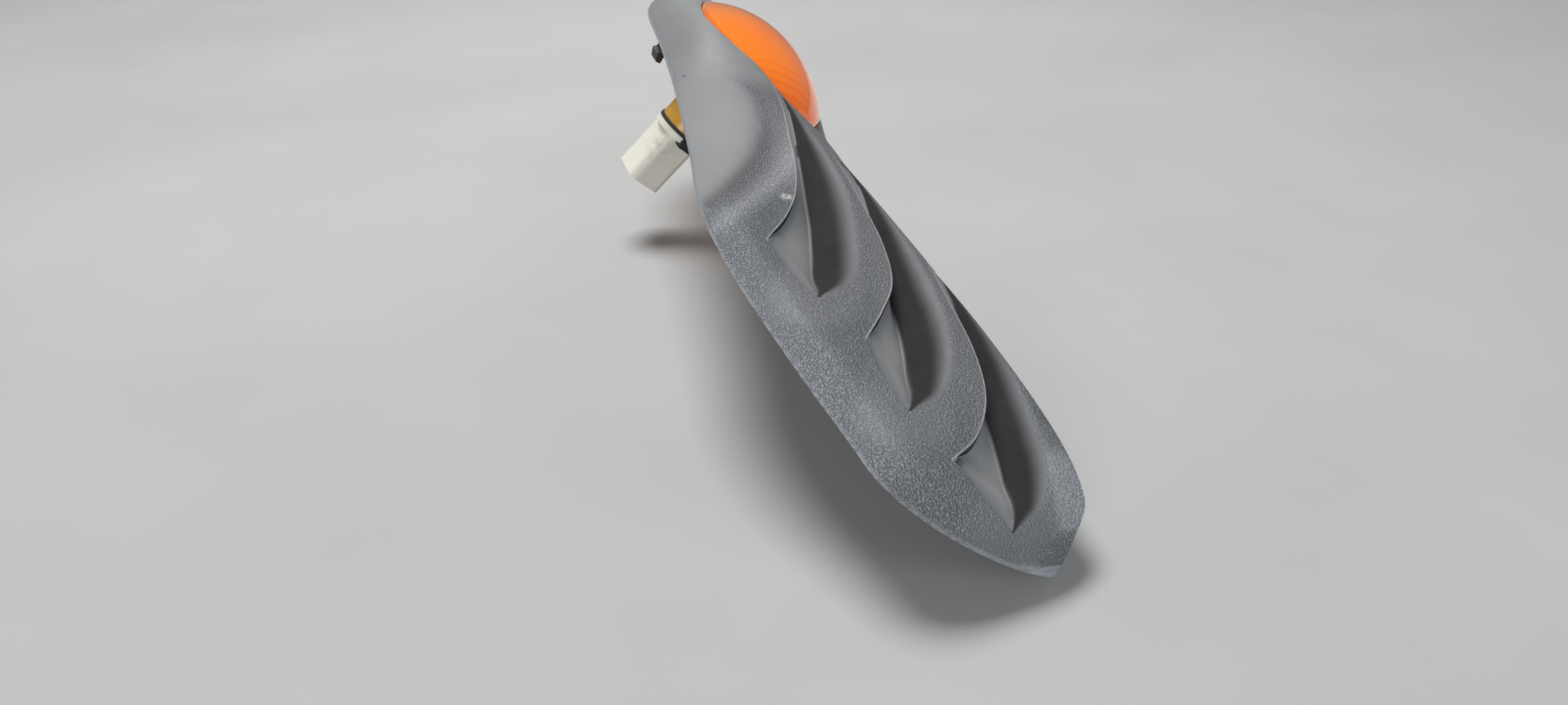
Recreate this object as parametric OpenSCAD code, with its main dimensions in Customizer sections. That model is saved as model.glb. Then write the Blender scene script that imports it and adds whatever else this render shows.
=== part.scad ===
// Side repeater lamp on a three-gill trim, for the front wing of a car.
// X runs along the wing with the lamp end forward, Z is up and -Y points out
// of the wing. The origin is the bulb axis where it crosses the wing's skin.

/* [Trim] */
// Length of the trim from the tail tip to the nose
trim_len = 232; // [222:1:242]
// Distance from the tail tip to the bulb axis
tail_to_bulb = 178.5; // [175:0.5:182]
// Height of the crest over the wing's skin near the middle
crest_h = 18.2; // [16.5:0.1:20]
// Widest reach of the trim above the crest
upper_reach = 39.4; // [37:0.2:42]
// Widest reach of the trim below the crest
lower_reach = 33.5; // [33:0.1:35]
// How far the crest is above the bulb axis at the tail
crest_up = 4; // [3:0.5:5]
// Drop of the centre line from the middle to the nose
nose_drop = 10; // [9:0.5:11]
// Thickness of the moulded wall
wall = 2.4; // [1.8:0.1:2.8]
// How far the crest dips below its line at the tail
tail_roll = 5; // [3:0.5:6]
// Height of the straight edge round the rim
rim_edge = 0.9; // [0.8:0.1:1.6]
// Depth of the fold behind the lamp panel
fold_depth = 1.9; // [0.5:0.1:2.2]
// How much lower the flank runs under the lens than over it
lens_fall = 3.3; // [2.4:0.1:3.4]

/* [Gills] */
// Depth of the deepest gill
gill_depth = 7; // [5:0.2:8]
// How much less deep each gill is than the one in front of it
gill_step = 0.6; // [0:0.1:1]
// How far the wall runs back under a gill's lip
gill_undercut = 2; // [1:0.1:2.2]
// Thickness of a gill's lip at its edge
lip_edge = 0.45; // [0.35:0.05:0.6]
// Height of the slot under a gill's lip
lip_gap = 0.8; // [0.5:0.05:1]
// How hollow a gill's rear wall is, from 1 for straight
gill_hollow = 1.35; // [1.1:0.05:1.8]
// Width of the soft roll on the rear side of a gill
gill_roll = 3.2; // [2:0.2:4]
// Thickness of the pocket walls inside the trim
pocket_wall = 1.8; // [1.2:0.1:2.4]

/* [Lens] */
// Half the length of the lens at its base
lens_a = 26; // [25:0.25:27]
// Half the height of the lens at its base
lens_b = 20; // [19:0.25:20.5]
// Middle of the lens ahead of the bulb axis
lens_fore = 2; // [1.5:0.25:2.5]
// Middle of the lens below the bulb axis
lens_low = 8; // [7:0.25:9]
// Radius of the dome round its long axis
dome_r = 28.2; // [27:0.2:29]
// Half length of the dome along its long axis
dome_a = 36; // [34:0.5:38]
// Depth of the dome's long axis behind the wing's skin
dome_sink = 8.5; // [8:0.25:9]
// Height of the dome's long axis above the middle of the lens
dome_up = 4; // [3:0.25:5]
// Thickness of the lens
lens_wall = 2.2; // [1.6:0.1:2.6]
// Gap between the lens and the trim
lens_gap = 0.35; // [0.2:0.05:0.5]
// Width of the lens flange
lens_flange = 2; // [1.5:0.1:2.2]

/* [Lamp body] */
// Outer radius of the neck that takes the bulb holder
neck_r = 6.9; // [6.7:0.1:7.2]
// Bore radius of the neck
neck_bore_r = 5.6; // [5.5:0.05:5.7]
// Depth of the neck's end behind the wing's skin
neck_end = 16; // [15:0.2:17]
// Upward slant of the neck and the bulb holder in degrees
neck_tilt = 12; // [0:1:14]
// Depth of the back of the lamp body behind the wing's skin
body_back = 6; // [5:0.5:7]
// Thickness of the lamp body's walls
body_wall = 1.8; // [1.4:0.1:2.2]

/* [Bulb holder] */
// Width of the holder's block along the wing
block_w = 11.6; // [11:0.2:12.4]
// Height of the holder's block
block_h = 10.8; // [10.4:0.2:11.6]
// Length of the holder's block
block_len = 16; // [14:0.2:18]
// Corner radius of the holder's block
block_round = 2.4; // [1.8:0.2:3]
// Radius of the holder's collar
collar_r = 7.4; // [7.2:0.1:7.8]
// Thickness of the holder's collar
collar_t = 1.6; // [1.2:0.1:2]
// Thickness of the rubber ring between the neck and the collar
ring_t = 1; // [0.8:0.1:1.2]
// Width of the plug socket in the end of the block
socket_w = 8.6; // [8.2:0.1:9]
// Height of the plug socket in the end of the block
socket_h = 6.2; // [5.8:0.1:7]
// Depth of the plug socket
socket_d = 10; // [8:0.5:11]

/* [Bulb] */
// Radius of the glass
glass_r = 4.6; // [4.2:0.1:4.8]
// Length of the bulb over all
bulb_len = 26.4; // [25:0.2:27]
// Width of the wedge base
wedge_w = 8.6; // [8:0.1:9]
// Thickness of the wedge base
wedge_t = 2.4; // [2.2:0.1:2.8]

/* [Fixings] */
// Radius of a push clip's stem
stem_r = 3; // [2.6:0.1:3.4]
// Length of a push clip's stem behind the wing's skin
stem_len = 11; // [9:0.5:13]
// Radius of a push clip's head
clip_head_r = 5; // [4.6:0.1:5.4]
// Height of a push clip's head inside the trim
clip_head_t = 1.6; // [1.2:0.1:2]
// How far the clip's barbs stand out from its stem
clip_barb = 0.2; // [0.1:0.05:0.25]
// Radius of the trim's clip bosses
boss_r = 4; // [3.6:0.1:4.4]
// Distance of the tail clip from the tail tip
tail_clip_s = 34; // [32:1:36]
// Distance of the middle clip from the tail tip
mid_clip_s = 112; // [110:1:116]
// Width of an edge hook
hook_w = 5.2; // [5:0.2:6.4]
// Reach of an edge hook behind the wing's skin
hook_reach = 5.4; // [5:0.2:7.6]
// Radius of a lamp screw's head
screw_head_r = 2.9; // [2.6:0.1:3.1]
// Radius of a lamp screw's shank
screw_r = 1.3; // [1.1:0.05:1.5]
// Width of the foam strip behind the rim
foam_w = 2.2; // [1.8:0.1:2.6]
// Thickness of the foam strip
foam_t = 1.4; // [1.1:0.1:1.5]

/* [Hidden] */

// Local lengths: s from the tail tip forward, w up from the crest, n out of the wing.
function at(s, w, n) = [s - tail_to_bulb, -n, w + crest_up];
eps = 0.01;
nose_s = trim_len;

// Smooth step and smooth curve through stations [place, value].
function step3(x) = let(c = min(max(x, 0), 1)) c * c * (3 - 2 * c);
function slope(st, i) = let(a = max(i - 1, 0), b = min(i + 1, len(st) - 1))
  (st[b][1] - st[a][1]) / (st[b][0] - st[a][0]);
function cell(st, x, i = 0) = (i >= len(st) - 2 || x < st[i + 1][0]) ? i : cell(st, x, i + 1);
function through(st, x) = let(i = cell(st, x), d = st[i + 1][0] - st[i][0],
    t = min(max((x - st[i][0]) / d, 0), 1))
  (1 + 2 * t) * (1 - t) * (1 - t) * st[i][1] + t * (1 - t) * (1 - t) * d * slope(st, i)
  + t * t * (3 - 2 * t) * st[i + 1][1] - t * t * (1 - t) * d * slope(st, i + 1);
// Quarter of a rounded end: 0 at the end itself, 1 once past r.
function round_end(x, r, p) = x >= r ? 1 : x <= 0 ? 0 : pow(1 - pow(1 - x / r, p), 1 / p);

// Stations of the reach above and below the centre line and of the crest.
upper_st = [[0, 32], [22, 33.6], [42, 36.7], [70, upper_reach], [93, 38], [122, 31],
  [159, 24.6], [185, 21.6], [216, 19], [trim_len, 17]];
lower_st = [[0, 15], [15, 14.5], [30, 16], [60, 20], [90, 25], [125, 29.4], [150, 31],
  [165, lower_reach - 1.7], [180, lower_reach], [195, lower_reach - 0.7], [212, 26], [trim_len, 22]];
crest_st = [[0, 18.5], [20, 17.5], [50, crest_h], [75, crest_h - 0.9], [100, 16.2], [125, 14.4],
  [150, 13.8], [172, 15.2], [192, 14.4], [212, 11.5], [trim_len, 9]];
function base_w(s) = -nose_drop * step3((s - 90) / (trim_len - 90));
function mid_w(s) = base_w(s) - tail_roll * step3(s / 9) * step3((42 - s) / 32);
function upper(s) = base_w(s) + through(upper_st, s) * round_end(s, 20, 1.95)
  * round_end(nose_s - s, 30, 2);
function lower(s) = base_w(s) - through(lower_st, s) * round_end(s, 30, 1.35)
  * round_end(nose_s - s, 32, 2);
function crest(s) = through(crest_st, s) * round_end(s, 44, 2.25) * round_end(nose_s - s, 26, 2.2);
function fill_up(s) = 1.55 + 1.4 * step3((s - 95) / 65) + 3.4 * step3((s - 155) / 30);
function fill_low(s) = 1.42 + 1.8 * step3((s - 148) / 26);
// The soft fold between the smooth lamp panel and the gill flank.
function fold(s, w) = let(t = (s - 91) / 51, fw = 38 - 62 * t + 32 * t * t, d = (w - fw) / 3.6)
  fold_depth * exp(-d * d) * step3((t + 0.25) / 0.3) * step3((1.15 - t) / 0.6);
// The flank falls away below the crest, round the lower side of the lens.
function fall(s, w) = lens_fall * step3((s - 133) / 27) * (1 + 0.35 * step3((s - 154) / 10))
  * step3((214 - s) / 18) * step3((3 - w) / 13) * (1 - 0.6 * step3((-w - 22) / 14));
// Height of the outer skin over the wing at s, with u from -1 (lower rim) to 1 (upper rim).
function skin_u(s, u) = let(c = max(crest(s), rim_edge))
  rim_edge + (c - rim_edge) * (1 - pow(abs(u), u > 0 ? fill_up(s) : fill_low(s)));
function w_of(s, u) = mid_w(s) + u * (u > 0 ? upper(s) - mid_w(s) : mid_w(s) - lower(s));
function skin(s, w) = let(m = mid_w(s), e = w > m ? max(upper(s) - m, 0.1) : max(m - lower(s), 0.1),
    u = min(max((w - m) / e, -1), 1))
  max(skin_u(s, u) - fold(s, w) - fall(s, w), 0.6);

// Body of the trim, or with in > 0 the same shape shrunk inside it.
module trim_shape(in, rows, cols) {
  s0 = in; s1 = nose_s - in;
  mid_s = (s0 + s1) / 2; half = (s1 - s0) / 2 - 0.35;
  ss = [for (i = [0:rows]) mid_s - half * cos(180 * i / rows)];
  us = [for (j = [0:cols]) sin(90 * (2 * j / cols - 1)) * 0.35 + (2 * j / cols - 1) * 0.65];
  function pt(s, u) = let(m = mid_w(s), w = w_of(s, u),
      hi = max(upper(s) - m - in, 0.35), lo = max(m - lower(s) - in, 0.35),
      wi = m + u * (u > 0 ? hi : lo), n = max(skin(s, w) - in, in > 0 ? 0.3 : 0.8))
    at(s, wi, n);
  k = cols + 1;
  top = [for (s = ss) for (u = us) pt(s, u)];
  N = len(top);
  // Indices once round the rim, and the same points on the wing's skin.
  loop = concat([for (j = [0:cols]) j], [for (i = [1:rows]) i * k + cols],
    [for (j = [1:cols]) rows * k + cols - j], [for (i = [1:rows - 1]) (rows - i) * k]);
  M = len(loop);
  foot = [for (q = loop) [top[q][0], in > 0 ? 3 : 1, top[q][2]]];
  polyhedron(concat(top, foot), concat(
    [for (i = [0:rows - 1]) for (j = [0:cols - 1]) let(a = i * k + j) each [[a, a + 1, a + k + 1], [a, a + k + 1, a + k]]],
    [for (q = [0:M - 1]) let(r = (q + 1) % M) each [[loop[q], N + q, N + r], [loop[q], N + r, loop[r]]]],
    [[for (q = [0:M - 1]) N + M - 1 - q]]));
}

// Gill curves as guide points in s and w: lip, rear edge and valley.
gill_lip = [[[79, 31], [87, 24], [97, 18], [112, 12], [132, 5], [154, -1]],
  [[46, 25], [53, 19], [62, 13], [77, 8], [96, 4], [117, -1]],
  [[17, 20], [21, 14], [29, 9], [42, 6], [58, 3], [76, -2]]];
gill_rear = [[[59, 29], [65, 22], [78, 16], [98, 9], [124, 3], [149, -2]],
  [[28, 24], [33, 18], [45, 12], [63, 7], [86, 2], [112, -3]],
  [[4, 12], [9, 7], [17, 4], [30, 2.5], [50, 0], [71, -4]]];
gill_valley = [[[59, 29], [69, 23], [82, 17.5], [101, 10.5], [125, 4], [149, -2]],
  [[28, 24], [37, 18], [49, 13.5], [66, 9], [88, 3], [112, -3]],
  [[4, 12], [12, 8], [21, 6.5], [34, 5], [52, 1.5], [71, -4]]];
lip_start = 0.2;
function along(p, t) = [for (c = [0, 1]) through([for (i = [0:len(p) - 1]) [i / (len(p) - 1), p[i][c]]], t)];
function gill_left(g, t) = t < lip_start
  ? gill_rear[g][0] + (gill_lip[g][0] - gill_rear[g][0]) * t / lip_start
    + [0, 1] * sin(180 * t / lip_start)
  : along(gill_lip[g], (t - lip_start) / (1 - lip_start));
// One cross-section of a gill: down the lip's edge, in and out of the slot under it, down the
// slope to the valley, up the rear wall and over the soft roll. With fat > 0 it is the outside
// of the pocket's wall.
function gill_ring(g, t, fat) = let(
    l = gill_left(g, t), v = along(gill_valley[g], t), r = along(gill_rear[g], t),
    open = step3(t / 0.12) * step3((1 - t) / 0.25),
    lip = step3((t - lip_start) / 0.12) * step3((1.02 - t) / 0.2),
    deep = (gill_depth - g * gill_step) * step3((t + 0.04) / 0.34)
      * step3((1 - t) / 0.45) + 0.12,
    r2 = r - [0.15, 0.985] * gill_roll * (0.2 + 0.8 * open),
    nl = skin(l[0], l[1]), nr2 = skin(r2[0], r2[1]), nv = skin(v[0], v[1]) - deep,
    drop = 0.14 + 0.36 * step3((t - 0.45) / 0.3),
    slot = l + [0.5, 0.85] * gill_undercut * lip, ns = skin(slot[0], slot[1]), edge = 0.05 + lip_edge * lip,
    gap = lip_gap * lip * (1 - 0.5 * step3((t - 0.45) / 0.2)),
    nu = nl - max(edge + gap + 0.1, (nl - nv) * drop * lip), soft = pow(0.5, 1.6 - 0.6 * step3(t / 0.3)),
    f = l * 0.5 + v * 0.5, nf = nu * (1 - soft) + nv * soft - 0.25 * open, out = [-0.35, -0.94] * fat,
    wall_q = [0.25, 0.5, 0.75, 0.92], up = 3.2)
  concat([at(l[0] - out[0], l[1] - out[1], nl + up)],
    fat > 0 ? [at(l[0] - out[0], l[1] - out[1], nl - fat * 0.6), at(l[0] - out[0], l[1] - out[1], nu - fat * 0.6)]
      : [at(l[0], l[1], nl - edge), at(slot[0], slot[1], ns - edge - 0.03),
        at(slot[0], slot[1], ns - edge - gap - 0.05), at(l[0], l[1], nu)],
    [at(f[0], f[1], nf - fat), at(v[0], v[1], nv - fat)],
    [for (q = wall_q) let(p = v + (r2 - v) * q + out * q)
      at(p[0], p[1], skin(p[0], p[1]) - deep * pow(1 - q, gill_hollow) - fat * (1 - 0.4 * q))],
    [at(r2[0] + out[0], r2[1] + out[1], nr2 - fat * 0.6), at(r2[0] + out[0], r2[1] + out[1], nr2 + up)]);
module gill(g, fat, rings) {
  q = fat > 0 ? 11 : 13;
  pts = [for (i = [0:rings]) each gill_ring(g, 0.004 + 0.992 * i / rings, fat)];
  polyhedron(pts, concat([[for (j = [0:q - 1]) q - 1 - j]], [[for (j = [0:q - 1]) rings * q + j]],
    [for (i = [0:rings - 1]) for (j = [0:q - 1]) let(a = i * q + j, b = i * q + (j + 1) % q)
      each [[a, b + q, a + q], [a, b, b + q]]]));
}

// An oval prism standing on the wing's skin, from n0 to n1 and larger than the lens by grow.
lens_s = tail_to_bulb + lens_fore;
lens_w = -crest_up - lens_low;
module oval(grow, n0, n1, fn = 72) {
  translate([lens_fore, -n0, -lens_low]) rotate([90, 0, 0]) linear_extrude(n1 - n0)
    polygon([for (i = [0:fn - 1]) [(lens_a + grow) * cos(360 * i / fn), (lens_b + grow) * sin(360 * i / fn)]]);
}
// The dome as a solid of revolution about its long axis.
module dome(shrink) {
  a = dome_a - shrink; r = dome_r - shrink; m = 40;
  translate([lens_fore, dome_sink, dome_up - lens_low]) rotate([0, 90, 0])
    rotate_extrude($fn = 96) polygon([for (i = [0:m]) [i == 0 || i == m ? 0 : r * sin(180 * i / m), -a * cos(180 * i / m)]]);
}
// A straight pin or bore along Y at s and w, from n0 out to n1.
module rod(s, w, r, n0, n1, fn = 48) {
  translate(at(s, w, n0)) rotate([90, 0, 0]) cylinder(h = n1 - n0, r = r, $fn = fn);
}
// Things on the slanted axis of the bulb.
module slanted() { rotate([neck_tilt, 0, 0]) children(); }
module slab(x0, x1, n0, n1, z0, z1) { translate([x0, -n1, z0]) cube([x1 - x0, n1 - n0, z1 - z0]); }

// A boss or post of the trim, up to its skin.
module boss(s, w, r, n0) { rod(s, w, r, n0, 24, 32); }
screw_s = [lens_s - lens_a - lens_flange - screw_head_r - 0.6, lens_s + lens_a + lens_flange + screw_head_r + 0.6];
hook_s = [tail_to_bulb + 13.5, tail_to_bulb + 21.5];
hook_in = [2.2, 6];
hook_pos = [[hook_s[0], upper(hook_s[0]) - hook_in[0], 1], [hook_s[1], lower(hook_s[1]) + hook_in[1], -1]];
clip_w = [6, 0];
clip_s = [tail_clip_s, mid_clip_s];
seat_n = 4.2;
vent_x = 15.5;
flange_n = 3.2;
body_n = 1.6;
function hook_x(h) = h[0] - tail_to_bulb;
function hook_z(h) = h[1] + crest_up;

// The moulded shell with its pockets, collar, bosses and seats, as one group of facets.
module trim_shell() {
  resize([0, 0, 0]) difference() {
    union() {
      difference() {
        trim_shape(0, 50, 22);
        trim_shape(wall, 26, 10);
      }
      intersection() {
        trim_shape(0, 50, 22);
        union() {
          for (g = [0:2]) gill(g, pocket_wall, 10);
          oval(lens_gap + 2, seat_n, 24);
          for (s = screw_s) boss(s, lens_w, screw_head_r + 0.4, body_n);
          for (i = [0, 1]) boss(clip_s[i], clip_w[i], boss_r, clip_head_t + 0.4);
          for (h = hook_pos) slab(hook_x(h) - hook_w / 2, hook_x(h) + hook_w / 2, 0.6, 6,
            hook_z(h) - (h[2] > 0 ? 0 : 2), hook_z(h) + (h[2] > 0 ? 2 : 0));
        }
      }
    }
    for (g = [0:2]) gill(g, 0, 26);
    oval(lens_gap, -2, 30);
    // room for the lens flange and gasket, and for the legs of the edge hooks
    oval(lens_flange + 0.1, -2, seat_n, 60);
    for (h = hook_pos) slab(hook_x(h) - hook_w / 2 + 0.5, hook_x(h) + hook_w / 2 - 0.5, -2, 4.4,
      hook_z(h) - (h[2] > 0 ? 1.4 : 0), hook_z(h) + (h[2] > 0 ? 0 : 1.4));
  }
}
module gill_trim() {
  color([0.42, 0.43, 0.44]) difference() {
    trim_shell();
    slab(-tail_to_bulb - 9, trim_len, -4, 0, -60, 60);
    for (s = screw_s) rod(s, lens_w, screw_r, 0, screw_len + 0.4);
  }
}

module lens() {
  color([1, 0.42, 0.05, 0.85]) difference() {
    union() {
      intersection() { dome(0); oval(0, body_n, 30); }
      oval(lens_flange, body_n, flange_n);
    }
    intersection() { dome(lens_wall); oval(-lens_wall, body_n - 1, 30); }
  }
}

module lens_gasket() {
  color([0.06, 0.06, 0.06]) difference() {
    oval(lens_flange, flange_n, seat_n);
    oval(0.05, flange_n - 1, seat_n + 1);
  }
}

plate_t = 0.8;
plate_gap = 0.3;
module reflector() {
  color([0.85, 0.85, 0.86]) difference() {
    intersection() {
      union() {
        oval(-lens_wall - plate_gap, body_n, body_n + plate_t);
        rod(tail_to_bulb, -crest_up, neck_r, body_n, body_n + 2 * plate_t);
      }
      dome(lens_wall + plate_gap);
    }
    rod(tail_to_bulb, -crest_up, neck_bore_r, body_n - 1, body_n + 3);
  }
}

module lamp_body() {
  color([0.95, 0.55, 0.12, 0.9]) difference() {
    union() {
      oval(lens_flange, 0.2, body_n);
      for (s = screw_s) rod(s, lens_w, screw_head_r + 0.4, 0.2, body_n);
      for (d = [-1, 1]) slab(lens_fore + d * (lens_a + 2) - 3, lens_fore + d * (lens_a + 2) + 3, 0.2, body_n,
        -lens_low - 3, -lens_low + 3);
      oval(-4.2, -body_back, body_n);
      slanted() rod(tail_to_bulb, -crest_up, neck_r, -neck_end, 0);
      rod(tail_to_bulb + vent_x, lens_w, 2.2, -body_back - 2.4, -body_back + 1);
      rod(tail_to_bulb - 11.6, -crest_up, 1.2, -body_back - 1.2, -body_back + 1, 24);
    }
    oval(-4.2 - body_wall, -body_back + body_wall, body_n + 1);
    slanted() rod(tail_to_bulb, -crest_up, neck_bore_r, -neck_end - 1, 3);
    // keyways for the holder's lugs
    slanted() slab(-1.7, 1.7, -neck_end - 1, -neck_end + 5, -6.4, 6.4);
    for (s = screw_s) rod(s, lens_w, screw_r + 0.15, -1, 3);
    rod(tail_to_bulb + vent_x, lens_w, 1, -body_back - 3, 3, 24);
  }
}

screw_head_t = 0.52 * screw_head_r;
screw_len = 5.85 * screw_r;
module lamp_screws() {
  color([0.7, 0.7, 0.72]) for (s = screw_s) difference() {
    union() {
      rod(s, lens_w, screw_head_r, -screw_head_t, 0.2);
      rod(s, lens_w, screw_r, 0, screw_len);
    }
    for (a = [0, 90]) translate(at(s, lens_w, -screw_head_t)) rotate([0, a, 0])
      cube([1.2 * screw_head_r, 1.3 * screw_head_t, 0.24 * screw_head_r], center = true);
  }
}

// Spring strip from the lamp body's back, along the neck and under the collar.
module lamp_spring() {
  x = -collar_r - 0.2; t = 0.8; end_n = neck_end + ring_t + collar_t;
  color([0.1, 0.1, 0.1]) difference() {
    union() {
      slab(x - 5.4, x, -body_back - t, -body_back, -2.5, 2.5);
      slanted() slab(x - t, x, -end_n - t, -body_back - 0.9, -2.5, 2.5);
      slanted() slab(x - t, -block_w / 2 - 0.15, -end_n - t, -end_n, -2.5, 2.5);
    }
    rod(tail_to_bulb - 11.6, -crest_up, 1.2, -body_back - 2, -body_back + 1, 24);
  }
}

module edge_hooks() {
  color([0.05, 0.05, 0.05]) for (h = hook_pos) {
    z = hook_z(h); d = h[2]; w = hook_w - 1;
    translate([hook_x(h) - w / 2, 0, 0]) rotate([90, 0, 90]) linear_extrude(w)
      polygon([[-4.4, z], [hook_reach - 3.2, z], [hook_reach - 2.4, z + d], [hook_reach, z],
        [hook_reach, z - 1.4 * d], [-4.4, z - 1.4 * d]]);
  }
}

module push_clips() {
  color([0.05, 0.05, 0.05]) for (i = [0, 1]) translate(at(clip_s[i], clip_w[i], 0)) rotate([-90, 0, 0])
    rotate_extrude($fn = 48) polygon(concat([[0, -clip_head_t - 0.4], [clip_head_r, -clip_head_t - 0.4],
      [clip_head_r, -0.4], [stem_r, -0.4], [stem_r, stem_len * 0.5]],
      [for (k = [0:2]) each [[stem_r + clip_barb, stem_len * 0.5 + k * 1.5 + 0.3], [stem_r - 0.6, stem_len * 0.5 + (k + 1) * 1.5]]],
      [[0.9, stem_len], [0, stem_len]]));
}

// Foam strip glued under the shell: one band round the trim where the shell leaves it room.
module rim_foam() {
  rows = 26; s0 = 7; half = (nose_s - 13) / 2;
  sr = [for (i = [0:rows]) s0 + half - half * cos(180 * i / rows)];
  function edge(s, side) = let(p = side > 0 ? fill_up(s) : fill_low(s),
      room = (foam_t - 0.2 + wall - rim_edge + (side < 0 ? fall(s, 0.8 * lower(s)) : 0)) / (crest(s) - rim_edge))
    mid_w(s) + side * pow(max(1 - room, 0.05), 1 / p)
      * ((side > 0 ? upper(s) - mid_w(s) : mid_w(s) - lower(s)) - wall);
  way = concat([for (s = sr) [s, edge(s, 1)]], [for (i = [0:rows]) let(s = sr[rows - i]) [s, edge(s, -1)]]);
  c = len(way);
  function inward(q) = let(a = way[(q + c - 1) % c], b = way[(q + 1) % c], v = b - a) [v[1], -v[0]] * foam_w / norm(v);
  pts = [for (q = [0:c - 1]) let(o = way[q], i = o + inward(q))
    each [at(o[0], o[1], 0.1), at(i[0], i[1], 0.1), at(i[0], i[1], foam_t), at(o[0], o[1], foam_t)]];
  color([0.12, 0.12, 0.12]) difference() {
    polyhedron(pts, [for (q = [0:c - 1]) for (k = [0:3])
      let(a = q * 4, b = (q + 1) % c * 4, l = (k + 1) % 4) each [[a + k, a + l, b + l], [a + k, b + l, b + k]]]);
    for (h = hook_pos) slab(hook_x(h) - hook_w / 2 - 0.5, hook_x(h) + hook_w / 2 + 0.5, -1, 3, hook_z(h) - 4, hook_z(h) + 4);
    oval(lens_flange + 0.4, -1, 3, 60);
  }
}

module vent_cap() {
  color([0.08, 0.08, 0.08]) difference() {
    rod(tail_to_bulb + vent_x, lens_w, 3.2, -body_back - 3.4, -body_back);
    rod(tail_to_bulb + vent_x, lens_w, 2.2, -body_back - 2.4, -body_back + 1);
  }
}

glass_top = 9.4;
wedge_end = bulb_len - glass_top;
module bulb() {
  color([0.9, 0.92, 0.95, 0.6]) slanted() union() {
    translate([0, -glass_top + glass_r, 0]) sphere(r = glass_r, $fn = 48);
    rod(tail_to_bulb, -crest_up, glass_r, -7.6, glass_top - glass_r);
    slab(-wedge_w / 2, wedge_w / 2, -wedge_end, -6, -wedge_t / 2, wedge_t / 2);
  }
}

contact_t = 0.5;
contact_w = 0.28 * wedge_w;
contact_x = 0.12 * wedge_w;
plug_n = neck_end - 7.6;
block_end_n = neck_end + ring_t + collar_t + block_len;
blade_end = block_end_n - 0.54 * socket_d;
module contact(d) {
  x0 = d > 0 ? contact_x : -contact_x - contact_w; z0 = d > 0 ? wedge_t / 2 : -wedge_t / 2 - contact_t;
  color([0.8, 0.6, 0.25]) slanted() slab(x0, x0 + contact_w, -blade_end, -plug_n - 1, z0, z0 + contact_t);
}
module contact_front() { contact(1); }
module contact_rear() { contact(-1); }

block_end = block_end_n;
module bulb_holder() {
  color([0.9, 0.89, 0.82]) slanted() difference() {
    union() {
      rod(tail_to_bulb, -crest_up, neck_bore_r - 0.15, -neck_end - ring_t, -plug_n);
      slab(-1.5, 1.5, -neck_end + 2.4, -neck_end + 4.8, -6.2, 6.2);
      rod(tail_to_bulb, -crest_up, collar_r, -neck_end - ring_t - collar_t, -neck_end - ring_t);
      for (x = [-1, 1]) for (z = [-1, 1]) translate([x * (block_w / 2 - block_round), neck_end + ring_t + collar_t - 0.2, z * (block_h / 2 - block_round)])
        rotate([-90, 0, 0]) cylinder(h = block_len + 0.2, r = block_round, $fn = 32);
      slab(-block_w / 2 + block_round, block_w / 2 - block_round, -block_end, -block_end + block_len + 0.2, -block_h / 2, block_h / 2);
      slab(-block_w / 2, block_w / 2, -block_end, -block_end + block_len + 0.2, -block_h / 2 + block_round, block_h / 2 - block_round);
      // catch for the plug, under the block
      slab(-2, 2, -block_end + 2.5, -block_end + 5.5, -block_h / 2 - 0.9, -block_h / 2 + 0.5);
    }
    slab(-wedge_w / 2 - 0.2, wedge_w / 2 + 0.2, -wedge_end, -plug_n + 0.4, -wedge_t / 2 - contact_t, wedge_t / 2 + contact_t);
    slab(-socket_w / 2, socket_w / 2, -block_end - 1, -block_end + socket_d, -socket_h / 2, socket_h / 2);
    slab(contact_x, contact_x + contact_w, -blade_end, -wedge_end + 1, wedge_t / 2, wedge_t / 2 + contact_t);
    slab(-contact_x - contact_w, -contact_x, -blade_end, -wedge_end + 1, -wedge_t / 2 - contact_t, -wedge_t / 2);
  }
}

module holder_ring() {
  color([0.05, 0.05, 0.05]) slanted() difference() {
    rod(tail_to_bulb, -crest_up, collar_r - 0.2, -neck_end - ring_t, -neck_end);
    rod(tail_to_bulb, -crest_up, neck_bore_r - 0.15, -neck_end - 2, -neck_end + 1);
  }
}

gill_trim();
lens();
lens_gasket();
reflector();
lamp_body();
lamp_screws();
lamp_spring();
edge_hooks();
push_clips();
rim_foam();
vent_cap();
bulb();
bulb_holder();
holder_ring();
contact_front();
contact_rear();
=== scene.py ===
import math

import bmesh
import bpy
import numpy as np
from mathutils import Matrix, Vector


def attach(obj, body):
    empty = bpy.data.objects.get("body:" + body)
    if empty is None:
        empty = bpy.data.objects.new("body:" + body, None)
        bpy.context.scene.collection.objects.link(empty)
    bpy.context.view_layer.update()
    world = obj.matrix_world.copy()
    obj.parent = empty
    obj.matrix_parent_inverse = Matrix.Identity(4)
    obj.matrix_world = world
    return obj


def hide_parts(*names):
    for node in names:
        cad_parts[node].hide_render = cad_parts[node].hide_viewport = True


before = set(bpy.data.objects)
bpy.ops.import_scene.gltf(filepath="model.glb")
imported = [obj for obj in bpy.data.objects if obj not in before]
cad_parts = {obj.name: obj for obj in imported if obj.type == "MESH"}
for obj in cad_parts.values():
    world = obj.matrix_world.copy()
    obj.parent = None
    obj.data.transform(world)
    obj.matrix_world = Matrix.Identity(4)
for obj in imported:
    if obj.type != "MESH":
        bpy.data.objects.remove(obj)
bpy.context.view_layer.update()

# The view: a camera 14 cm above the bench and 10 cm behind the tail of the trim, looking down
# its length. The lamp lies on its back, so the bench is a slanted plane in the lamp's own frame.
BENCH_UP = Vector((0.2377, -0.8238, 0.5147)).normalized()
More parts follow.
